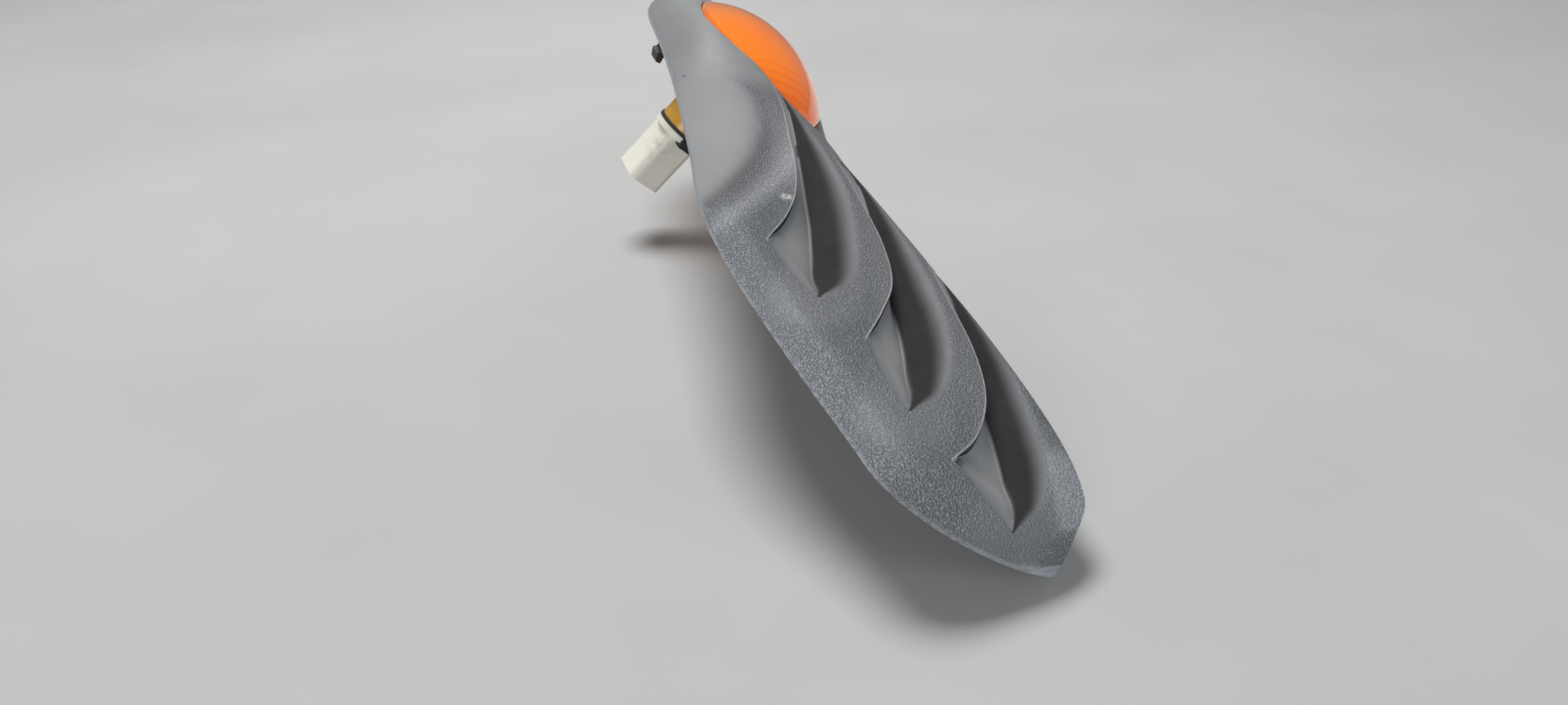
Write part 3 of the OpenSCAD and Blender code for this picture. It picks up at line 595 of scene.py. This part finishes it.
class Paint:
    """A material with its node tree, its main shader and the place on the piece to hand."""

    def __init__(self, name):
        self.material = bpy.data.materials.new(name)
        self.material.use_nodes = True
        self.tree = self.material.node_tree
        self.shader = self.tree.nodes["Principled BSDF"]
        self.where = self.add("ShaderNodeTexCoord").outputs["Object"]

    def add(self, kind, **settings):
        made = self.tree.nodes.new(kind)
        for key, value in settings.items():
            setattr(made, key, value)
        return made

    def set(self, socket, value):
        if isinstance(value, bpy.types.NodeSocket):
            self.tree.links.new(value, socket)
        elif socket.type == "RGBA":
            socket.default_value = (*value, 1.0)
        else:
            socket.default_value = value

    def put(self, **inputs):
        """Sets the main shader's inputs, with _ for a space in their names."""
        for key, value in inputs.items():
            self.set(self.shader.inputs[key.replace("_", " ")], value)

    def noise(self, scale, detail=3.0, rough=0.5):
        made = self.add("ShaderNodeTexNoise")
        self.set(made.inputs["Vector"], self.where)
        made.inputs["Scale"].default_value = scale
        made.inputs["Detail"].default_value = detail
        made.inputs["Roughness"].default_value = rough
        return made.outputs["Fac"]

    def cells(self, scale, where, **settings):
        made = self.add("ShaderNodeTexVoronoi", **settings)
        self.set(made.inputs["Vector"], where)
        made.inputs["Scale"].default_value = scale
        return made

    def math(self, how, a, b=0.0, clamp=False):
        made = self.add("ShaderNodeMath", operation=how, use_clamp=clamp)
        self.set(made.inputs[0], a)
        self.set(made.inputs[1], b)
        return made.outputs[0]

    def times(self, a, b, clamp=False):
        return self.math("MULTIPLY", a, b, clamp)

    def vector(self, how, a, b):
        made = self.add("ShaderNodeVectorMath", operation=how)
        self.set(made.inputs[0], a)
        self.set(made.inputs["Scale" if how == "SCALE" else 1], b)
        return made

    def span(self, value, low, high, to_low=0.0, to_high=1.0):
        made = self.add("ShaderNodeMapRange")
        self.set(made.inputs["Value"], value)
        ends = {"From Min": low, "From Max": high, "To Min": to_low, "To Max": to_high}
        for key, number in ends.items():
            made.inputs[key].default_value = number
        return made.outputs["Result"]

    def mix(self, factor, a, b):
        made = self.add("ShaderNodeMix", data_type="RGBA")
        for key, value in (("Factor", factor), ("A", a), ("B", b)):
            self.set(made.inputs[key], value)
        return made.outputs["Result"]

    def mottled(self, spots, colours, low=0.3, high=0.7):
        return self.mix(self.span(spots, low, high), *colours)

    def attribute(self, name):
        return self.add("ShaderNodeAttribute", attribute_name=name).outputs["Fac"]

    def bump(self, height, strength, distance, under=None):
        made = self.add("ShaderNodeBump")
        self.set(made.inputs["Height"], height)
        made.inputs["Strength"].default_value = strength
        made.inputs["Distance"].default_value = distance
        if under is not None:
            self.set(made.inputs["Normal"], under)
        return made.outputs["Normal"]

    def spot(self, centre, radius, stretch=(1, 1, 1)):
        """1 at a place on the piece, falling to 0 at a radius in millimetres."""
        shift = self.vector("SUBTRACT", self.where, tuple(c * MM for c in centre))
        scaled = self.vector("MULTIPLY", shift.outputs[0], stretch)
        length = self.add("ShaderNodeVectorMath", operation="LENGTH")
        self.set(length.inputs[0], scaled.outputs[0])
        return self.span(length.outputs["Value"], radius * MM, 0.0)

    def onto(self, *pieces):
        for piece in pieces:
            piece.data.materials.clear()
            piece.data.materials.append(self.material)


grain = Paint("grained_grey_plastic")
marked_by = {name: grain.attribute(name)
             for name in (*MARKS, "edge_highlight", "from_lip", "from_valley")}
sunk, grained = marked_by["sunk"], marked_by["grained"]
# Painted highlight lines along the lips and the valleys.
lip_highlight = grain.times(grain.span(marked_by["from_lip"], 0.25, 0.45, 0.8, 0.0),
                       grain.span(sunk, 0.05, 0.09, 1.0, 0.0))
valley_highlight = grain.times(grain.span(marked_by["from_valley"], 0.03, 0.14, 0.35, 0.0),
                          grain.span(sunk, 0.15, 0.4))
stir = grain.add("ShaderNodeTexNoise")
grain.set(stir.inputs["Vector"], grain.where)
stir.inputs["Scale"].default_value = STIR_CELLS
stir.inputs["Detail"].default_value = 2
stirred = grain.vector("SCALE", stir.outputs["Color"], STIR)
wander = grain.vector("ADD", grain.where, stirred.outputs[0])
pebble = grain.cells(GRAIN_CELLS, wander.outputs[0], feature="SMOOTH_F1")
pebble.inputs["Smoothness"].default_value = GRAIN_SOFTNESS
from_cell = pebble.outputs["Distance"]
pebbled = grain.span(from_cell, 0.1, 0.75, 1.0, 0.0)
fine = grain.noise(FINE_CELLS, 2)
pebble_normal = grain.bump(grain.times(pebbled, grained), 1.0, GRAIN_HEIGHT)

tone = grain.mottled(grain.noise(38, 4, 0.6), GREYS)
# Painted shade on the flank, and painted sheen on its rim band and shoulder.
tone = grain.mix(grain.times(marked_by["flank"], FLANK_SHADE, True), tone, FLANK_SHADE_GREY)
tone = grain.mix(grain.times(marked_by["flank"], BAND_SHEEN, True), tone, BAND_SHEEN_GREY)
# Painted shade in the grain's pits and a painted highlight on its tops.
shaded_pits = grain.times(grain.span(from_cell, 0.25, 0.6, 0.0, PIT_SHADE), grained)
tone = grain.mix(shaded_pits, tone, PIT_SHADE_GREY)
lit_tops = grain.times(grain.span(pebbled, 0.55, 0.95, 0.0, TOP_HIGHLIGHT), grained)
tone = grain.mix(lit_tops, tone, TOP_HIGHLIGHT_GREY)
# Painted shade on the scales beside the gills.
tone = grain.mix(grain.times(marked_by["scale_shade"], SCALE_SHADE), tone, SCALE_SHADE_GREY)
# Painted shade on the panel side of the fold and painted glints on its flank side.
tone = grain.mix(grain.times(marked_by["fold_shade"], FOLD_SHADE), tone, FOLD_SHADE_GREY)
fold_glints = grain.times(marked_by["fold_highlight"], grain.span(pebbled, 0.2, 0.9, 0.25, 1.0))
tone = grain.mix(grain.times(fold_glints, FOLD_HIGHLIGHT), tone, FOLD_HIGHLIGHT_GREY)
# Painted light on the gills' slopes, lighter than the skin.
tone = grain.mix(grain.span(sunk, 0.05, 0.5, 0.0, SLOPE_LIGHT), tone, LIT_SLOPE_GREY)
# Painted shade on the gills' rear walls.
wall_shade_tone = grain.mottled(fine, WALL_SHADE_BLACKS, 0.35, 0.65)
tone = grain.mix(grain.times(marked_by["rear_wall"], WALL_SHADE), tone, wall_shade_tone)
tone = grain.mix(grain.math("MAXIMUM", lip_highlight, valley_highlight), tone, HIGHLIGHT_LINE_GREY)
# Painted highlight along the rim edge and the tail tip's edge.
tone = grain.mix(marked_by["edge_highlight"], tone, EDGE_HIGHLIGHT_GREY)
chips = grain.times(grain.spot(SCUFF_PLACE, SCUFF_RADIUS),
                    grain.span(grain.noise(1600, 3, 0.7), 0.42, 0.56), True)
tone = grain.mix(grain.times(chips, 1.8, True), tone, SCUFF_GREY)
rubbed = grain.times(grain.spot(RUB_PLACE, RUB_RADIUS, RUB_STRETCH),
                     grain.span(grain.noise(1300, 3, 0.7), 0.5, 0.62, 0.0, 0.4), True)
tone = grain.mix(rubbed, tone, RUB_GREY)
tone = grain.mix(grain.times(grain.spot(SPECK_PLACE, SPECK_RADIUS), 1.2, True), tone, SPECK_GREY)
dull = grain.span(grain.noise(260), 0.3, 0.7, 0.52, 0.62)
dull = grain.math("SUBTRACT", dull, grain.times(grained, 0.16))
dull = grain.math("ADD", dull, grain.times(marked_by["rear_wall"], 0.4), True)
grain.put(Base_Color=tone, Roughness=dull,
          Normal=grain.bump(fine, 0.25, FINE_HEIGHT, pebble_normal))
grain.onto(trim)
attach(trim, "root")
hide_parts("gill_trim")


# The lens: a clear amber dome moulded as one piece with the flange that holds it in the trim. Its
# outside is smooth, and its inside has upright flutes that spread the light. A faint painted glow
# stands in for the daylight that such a dome gathers.
DOME_RADIUS = 28.2
DOME_HALF = 36.0
DOME_SINK = 8.5
DOME_UP = 4.0
DOME_EDGE = 0.25
LENS_WALL = 2.2
FLANGE = ((0.0, 3.2), (1.8, 3.2), (2.0, 3.0), (2.0, 1.6), (-LENS_WALL, 1.6))
FLUTE_PITCH, FLUTE_DEPTH = 2.5, 0.45
DOME_RINGS, FLUTE_RINGS, TURNS = 44, 60, 192
AMBERS = (1.0, 0.240, 0.014), (1.0, 0.285, 0.022)
FLUTE_SHADE_AMBER, FLUTE_SHADE = (0.80, 0.080, 0.004), 0.35
PAINTED_GLOW_AMBER, PAINTED_GLOW = (1.0, 0.17, 0.006), 0.2
SHEEN_TINT = (1.0, 0.80, 0.70)
AMBER_BLEED = (0.010, 0.003, 0.001)
STRIPES_START, STRIPES_FULL = -0.008, -0.022
CLEAR_PLASTIC = 1.49
DOME_SMOOTH = math.radians(40)


def dome_n(x, z, shrink):
    """How far the dome stands out over a place in its oval."""
    r = (DOME_RADIUS - shrink) * math.sqrt(max(1 - (x / (DOME_HALF - shrink)) ** 2, 0.0))
    return -DOME_SINK + math.sqrt(max(r * r - (z - DOME_UP) ** 2, 0.01))


def lens_point(k, angle, grow, n=None, shrink=0.0, flute=0.0):
    x = (LENS_HALF[0] + grow) * k * math.cos(angle)
    z = (LENS_HALF[1] + grow) * k * math.sin(angle)
    if n is None:
        ridge = 0.5 + 0.5 * math.cos(2 * math.pi * x / FLUTE_PITCH)
        n = dome_n(x, z, shrink) - flute * ridge
    return ((x + LENS_MIDDLE[0]) * MM, -n * MM, (z + LENS_MIDDLE[1]) * MM)


def outer_ring(k, grow=0.0, n=None):
    return [lens_point(k, 2 * math.pi * i / TURNS, grow, n) for i in range(TURNS)]


def inner_point(k, angle):
    return lens_point(k, angle, -LENS_WALL, None, LENS_WALL, FLUTE_DEPTH)


def lathe(name, start, rings, end):
    """A closed skin over rings of equal length, with a point at either end."""
    points, faces = [start], []
    for ring in rings:
        points += ring
    points.append(end)
    turns = len(rings[0])
    for i in range(turns):
        j = (i + 1) % turns
        faces.append((0, 1 + j, 1 + i))
        for r in range(len(rings) - 1):
            a = 1 + r * turns
            faces.append((a + i, a + j, a + turns + j, a + turns + i))
        a = 1 + (len(rings) - 1) * turns
        faces.append((a + i, a + j, len(points) - 1))
    return outward(solid(name, points, faces))


rings = [outer_ring(k / DOME_RINGS) for k in range(1, DOME_RINGS)]
rings += [outer_ring(1.0, DOME_EDGE * math.sin(turn) - DOME_EDGE) for turn in (0.2, 0.9, 1.57)]
rings += [outer_ring(1.0, grow, n) for grow, n in FLANGE]
rings += [[inner_point(k / FLUTE_RINGS, 2 * math.pi * i / TURNS) for i in range(TURNS)]
          for k in range(FLUTE_RINGS, 0, -1)]
dome = lathe("fluted_lens", lens_point(0, 0, 0), rings, inner_point(0, 0))
dome.data.shade_smooth()
dome.data.set_sharp_from_angle(angle=DOME_SMOOTH)

amber = Paint("clear_amber_plastic")
haze = amber.noise(60)
# Darker stripes near the tail end are painted shade of the inner flutes seen through the dome.
axes = amber.add("ShaderNodeSeparateXYZ")
amber.set(axes.inputs[0], amber.where)
waves = amber.math("ADD", amber.times(axes.outputs["X"], 2 * math.pi / (FLUTE_PITCH * MM)),
                   amber.times(haze, 1.6))
near_tail = amber.span(axes.outputs["X"], STRIPES_START, STRIPES_FULL)
painted_flute_stripes = amber.times(amber.span(amber.math("COSINE", waves), -0.2, 1.0), near_tail)
# The emission is a painted glow.
amber.put(Base_Color=amber.mix(amber.times(painted_flute_stripes, FLUTE_SHADE), amber.mottled(haze, AMBERS),
                               FLUTE_SHADE_AMBER),
          Roughness=amber.span(amber.noise(420), 0.3, 0.7, 0.07, 0.13),
          Normal=amber.bump(amber.noise(140, 2), 0.12, 0.0003),
          Emission_Color=PAINTED_GLOW_AMBER, Emission_Strength=PAINTED_GLOW,
          Sheen_Tint=SHEEN_TINT, Sheen_Weight=0.3, Sheen_Roughness=0.35,
          Subsurface_Radius=AMBER_BLEED, Subsurface_Weight=0.7, Subsurface_Scale=1.0,
          Transmission_Weight=0.15, IOR=CLEAR_PLASTIC, Coat_Weight=1.0, Coat_Roughness=0.06)
amber.onto(dome)
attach(dome, "root")
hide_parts("lens")


# The lens gasket, the ring under the bulb holder and the vent cap: soft black rubber, pressed
# between the pieces that they seal, with the dull bloom that such rubber gets.
RUBBER_BLACKS = (0.018, 0.018, 0.018), (0.045, 0.044, 0.042)
EDGE_ANGLE = math.radians(38)


def soften(piece, width, steps=3):
    """Rounds a moulded piece's edges a little, as they leave the mould."""
    edge = piece.modifiers.new("mould_edges", "BEVEL")
    edge.width = width * MM
    edge.segments = steps
    edge.limit_method = "ANGLE"
    edge.angle_limit = EDGE_ANGLE
    edge.harden_normals = False
    piece.data.shade_smooth()
    piece.data.set_sharp_from_angle(angle=EDGE_ANGLE)
    return piece


rubber = Paint("black_rubber")
bloom = rubber.noise(120, 4, 0.6)
rubber.put(Base_Color=rubber.mottled(bloom, RUBBER_BLACKS, 0.35, 0.75),
           Roughness=rubber.span(bloom, 0.3, 0.7, 0.62, 0.82),
           Normal=rubber.bump(rubber.noise(2600), 0.3, 0.00008))
rubber.onto(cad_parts["lens_gasket"])
rubber.onto(soften(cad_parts["holder_ring"], 0.2))
rubber.onto(soften(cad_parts["vent_cap"], 0.4))


# The reflector: a thin metallised plate behind the lens, with a dull sheen from the light that
# it has thrown back for years.
SILVERS = (0.82, 0.82, 0.83), (0.72, 0.72, 0.72)

silver = Paint("metallised_plate")
tarnish = silver.noise(90, 4)
silver.put(Base_Color=silver.mottled(tarnish, SILVERS), Metallic=1.0,
           Roughness=silver.span(tarnish, 0.3, 0.7, 0.16, 0.28),
           Normal=silver.bump(silver.noise(500, 2), 0.2, 0.0002))
silver.onto(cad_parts["reflector"])


# The lamp body: the amber tray behind the lens, with the slanted neck that takes the bulb
# holder. It is the same plastic as the lens, a little cloudier.
TRAY_AMBERS = (1.0, 0.42, 0.05), (1.0, 0.48, 0.08)
TRAY_BLEED = (0.008, 0.004, 0.001)

tray = Paint("cloudy_amber_plastic")
tray.put(Base_Color=tray.mottled(tray.noise(90, 4), TRAY_AMBERS),
         Roughness=tray.span(tray.noise(300), 0.3, 0.7, 0.18, 0.34),
         Normal=tray.bump(tray.noise(900), 0.12, 0.0001),
         Subsurface_Radius=TRAY_BLEED, Subsurface_Weight=0.4, Subsurface_Scale=1.0,
         Transmission_Weight=0.1, IOR=CLEAR_PLASTIC)
tray.onto(soften(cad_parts["lamp_body"], 0.25, 2))


# Two zinc-plated screws draw the lamp body up against the trim. Their plating is mottled, and
# their edges are rounded by use.
ZINCS = (0.56, 0.55, 0.52), (0.70, 0.70, 0.70)

zinc = Paint("zinc_plate")
mottle = zinc.noise(800, 4, 0.6)
zinc.put(Base_Color=zinc.mottled(mottle, ZINCS, 0.35, 0.65), Metallic=1.0,
         Roughness=zinc.span(mottle, 0.3, 0.7, 0.28, 0.5),
         Normal=zinc.bump(zinc.noise(2500, 2), 0.2, 0.00006))
zinc.onto(soften(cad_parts["lamp_screws"], 0.2, 2))


# The spring strip, edge hooks and push clips that hold the lamp to the wing: black parts with
# the scratches of fitting and taking off.
FITTING_BLACKS = (0.016, 0.016, 0.017), (0.060, 0.060, 0.062)

black = Paint("black_fittings")
scrape = black.noise(1400, 4, 0.7)
black.put(Base_Color=black.mottled(scrape, FITTING_BLACKS, 0.45, 0.75),
          Roughness=black.span(scrape, 0.3, 0.7, 0.34, 0.55),
          Normal=black.bump(scrape, 0.15, 0.00008))
for name in ("lamp_spring", "edge_hooks", "push_clips"):
    black.onto(soften(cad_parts[name], 0.2, 2))


# The foam strip glued under the shell, which takes up the gap to the wing: open-celled black
# foam, so its surface is all small pits, with painted shade in them.
FOAM_BLACK_AND_PIT_SHADE = (0.012, 0.012, 0.012), (0.055, 0.055, 0.055)
FOAM_CELLS, FOAM_PITS = 1900, 0.0003

foam = Paint("open_foam")
shaded_pits = foam.cells(FOAM_CELLS, foam.where).outputs["Distance"]
# The foam is darker in its pits: painted shade.
foam.put(Base_Color=foam.mottled(shaded_pits, FOAM_BLACK_AND_PIT_SHADE, 0.1, 0.6),
         Roughness=foam.span(shaded_pits, 0.0, 0.7, 0.98, 0.8), Normal=foam.bump(shaded_pits, 0.8, FOAM_PITS))
foam.onto(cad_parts["rim_foam"])


# The bulb: a clear glass wedge bulb pushed into its holder, with a coiled wire across the top of
# two support wires inside. It stands on the neck's own slant.
GLASSES = (0.96, 0.97, 0.98), (0.90, 0.92, 0.93)
BULB_GLASS = 1.47
TUNGSTENS = (0.30, 0.29, 0.28), (0.42, 0.41, 0.40)
NECK_TILT = math.radians(12)
POST_X, COIL_N, COIL_RADIUS = 2.2, 5.0, 0.35
COIL_STEPS, STEPS_A_TURN = 240, 12
COIL_THICK, POST_THICK = 0.06, 0.18


def on_bulb_axis(x, n, z):
    y = -n
    return (x * MM, (y * math.cos(NECK_TILT) - z * math.sin(NECK_TILT)) * MM,
            (y * math.sin(NECK_TILT) + z * math.cos(NECK_TILT)) * MM)


def coil_point(i):
    turn = i * 2 * math.pi / STEPS_A_TURN
    x = -POST_X + 2 * POST_X * i / COIL_STEPS
    return on_bulb_axis(x, COIL_N + COIL_RADIUS * math.sin(turn), COIL_RADIUS * math.cos(turn))


def wire(name, points, thick):
    line = bpy.data.curves.new(name, "CURVE")
    line.dimensions = "3D"
    line.bevel_depth = thick * MM
    line.bevel_resolution = 3
    run = line.splines.new("POLY")
    run.points.add(len(points) - 1)
    for knot, p in zip(run.points, points):
        knot.co = (*p, 1)
    made = bpy.data.objects.new(name, line)
    bpy.context.scene.collection.objects.link(made)
    return made


glass = Paint("bulb_glass")
smear = glass.noise(300)
glass.put(Base_Color=glass.mottled(smear, GLASSES), Transmission_Weight=0.95, IOR=BULB_GLASS,
          Roughness=glass.span(smear, 0.3, 0.7, 0.01, 0.06),
          Normal=glass.bump(glass.noise(200, 2), 0.05, 0.0002))
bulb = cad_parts["bulb"]
glass.onto(bulb)
bulb.data.shade_smooth()
bulb.data.set_sharp_from_angle(angle=EDGE_ANGLE)

tungsten = Paint("tungsten_wire")
drawn = tungsten.noise(3000)
tungsten.put(Base_Color=tungsten.mix(drawn, *TUNGSTENS), Metallic=1.0,
             Roughness=tungsten.span(drawn, 0.3, 0.7, 0.3, 0.45))
wires = [wire("bulb_filament", [coil_point(i) for i in range(COIL_STEPS + 1)], COIL_THICK)]
wires += [wire(name, [on_bulb_axis(x, n, 0) for n in (-8, -2, 3, COIL_N)], POST_THICK)
          for name, x in (("bulb_post_front", POST_X), ("bulb_post_rear", -POST_X))]
for piece in wires:
    piece.data.materials.append(tungsten.material)
    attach(piece, "root")


# The bulb holder: a cream nylon block with a round collar, turned into the neck. It has yellowed
# a little, and dirt has settled where the collar meets the block.
CREAMS = (0.90, 0.885, 0.80), (0.83, 0.815, 0.71)
CREAM_BLEED = (0.002, 0.0015, 0.001)
DIRT_PLACE, DIRT_RADIUS, DIRT_BROWN = (-4.5, 22.0, 9.5), 5.0, (0.20, 0.13, 0.06)

cream = Paint("cream_nylon")
dirt = cream.times(cream.spot(DIRT_PLACE, DIRT_RADIUS),
                   cream.span(cream.noise(500, 4, 0.7), 0.42, 0.62), True)
cream.put(Base_Color=cream.mix(cream.times(dirt, 0.4, True),
                               cream.mottled(cream.noise(70, 4), CREAMS), DIRT_BROWN),
          Subsurface_Radius=CREAM_BLEED, Subsurface_Weight=0.15,
          Roughness=cream.span(cream.noise(400), 0.3, 0.7, 0.36, 0.52),
          Normal=cream.bump(cream.noise(1600), 0.12, 0.00008))
cream.onto(soften(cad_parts["bulb_holder"], 0.5))


# Two brass contacts run from the bulb's wires, through the holder, to the plug socket. They are
# stamped from strip, and have dulled.
BRASSES = (0.72, 0.50, 0.17), (0.50, 0.33, 0.12)

brass = Paint("brass_strip")
dulled = brass.noise(700, 4)
brass.put(Base_Color=brass.mottled(dulled, BRASSES), Metallic=1.0,
          Roughness=brass.span(dulled, 0.3, 0.7, 0.24, 0.45),
          Normal=brass.bump(dulled, 0.1, 0.00005))
for name in ("contact_front", "contact_rear"):
    brass.onto(soften(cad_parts[name], 0.12, 2))


# The bench under the lamp: a plain pale surface, slanted as the lamp lies on it. It shows, and
# takes the shadow, from above only.
BENCH_LOW = -0.0422
BENCH_HALF = 2.5
BENCH_GREYS = (0.50, 0.50, 0.50), (0.54, 0.54, 0.54)

bench_side = VIEW_RIGHT.cross(BENCH_UP).normalized() * BENCH_HALF
bench_along = BENCH_UP.cross(bench_side)
corners = [BENCH_UP * BENCH_LOW + bench_along * a + bench_side * b
           for a, b in ((-1, -1), (1, -1), (1, 1), (-1, 1))]
bench = solid("bench", corners, [(0, 1, 2, 3)])
if bench.data.polygons[0].normal.dot(BENCH_UP) < 0:
    bench.data.flip_normals()
pale = Paint("pale_bench")
pale.put(Base_Color=pale.mottled(pale.noise(9, 4), BENCH_GREYS, 0.35, 0.65), Roughness=0.8)
ray = pale.add("ShaderNodeLightPath").outputs
shown = pale.math("ADD", ray["Is Camera Ray"], ray["Is Glossy Ray"], True)
shown = pale.math("ADD", shown, ray["Is Transmission Ray"], True)
from_below = pale.add("ShaderNodeNewGeometry").outputs["Backfacing"]
shown = pale.times(shown, pale.math("SUBTRACT", 1.0, from_below), True)
choice = pale.add("ShaderNodeMixShader")
pale.set(choice.inputs["Fac"], shown)
pale.set(choice.inputs[1], pale.add("ShaderNodeBsdfTransparent").outputs[0])
pale.set(choice.inputs[2], pale.shader.outputs[0])
pale.set(pale.tree.nodes["Material Output"].inputs["Surface"], choice.outputs[0])
pale.onto(bench)


# The light: a weak even glow from all round, a soft light overhead, a cool one from the tail, one
# from the side and a weak one behind. The backdrop shows to the camera, and lights nothing.
AMBIENT, AMBIENT_STRENGTH = (0.96, 0.98, 1.0, 1.0), 0.14
BACKDROP = (0.72, 0.73, 0.74, 1.0)
LIGHT_AIM = Vector((-0.06, -0.005, 0.0))
LIGHT_FAR = 0.9

world = bpy.data.worlds.new("studio")
bpy.context.scene.world = world
world.use_nodes = True
sky = world.node_tree
ambient = sky.nodes["Background"]
ambient.inputs["Color"].default_value = AMBIENT
ambient.inputs["Strength"].default_value = AMBIENT_STRENGTH
backdrop = sky.nodes.new("ShaderNodeBackground")
backdrop.inputs["Color"].default_value = BACKDROP
path = sky.nodes.new("ShaderNodeLightPath")
either = sky.nodes.new("ShaderNodeMath")
either.operation = "MAXIMUM"
blend = sky.nodes.new("ShaderNodeMixShader")
for start, end in ((path.outputs["Is Camera Ray"], either.inputs[0]),
                   (path.outputs["Is Transmission Ray"], either.inputs[1]),
                   (either.outputs[0], blend.inputs["Fac"]),
                   (ambient.outputs[0], blend.inputs[1]),
                   (backdrop.outputs[0], blend.inputs[2]),
                   (blend.outputs[0], sky.nodes["World Output"].inputs["Surface"])):
    sky.links.new(start, end)


def softbox(name, way, size, watts, colour=(1, 1, 1)):
    lamp = bpy.data.lights.new(name, "AREA")
    lamp.shape = "DISK"
    lamp.size = size
    lamp.energy = watts
    lamp.color = colour
    made = bpy.data.objects.new(name, lamp)
    bpy.context.scene.collection.objects.link(made)
    way = Vector(way).normalized()
    made.location = LIGHT_AIM + way * LIGHT_FAR
    made.rotation_mode = "QUATERNION"
    made.rotation_quaternion = (-way).to_track_quat("-Z", "Y")


softbox("ceiling_light", (0.58, -0.67, 0.46), 0.45, 7.8, (1.0, 0.995, 0.985))
softbox("window_light", (-0.75, -0.60, -0.25), 0.35, 2.0, (0.88, 0.95, 1.0))
softbox("side_light", (-0.75, -0.02, 0.66), 0.45, 3.8)
softbox("back_light", (0.25, 0.9, 0.35), 0.6, 1.5)
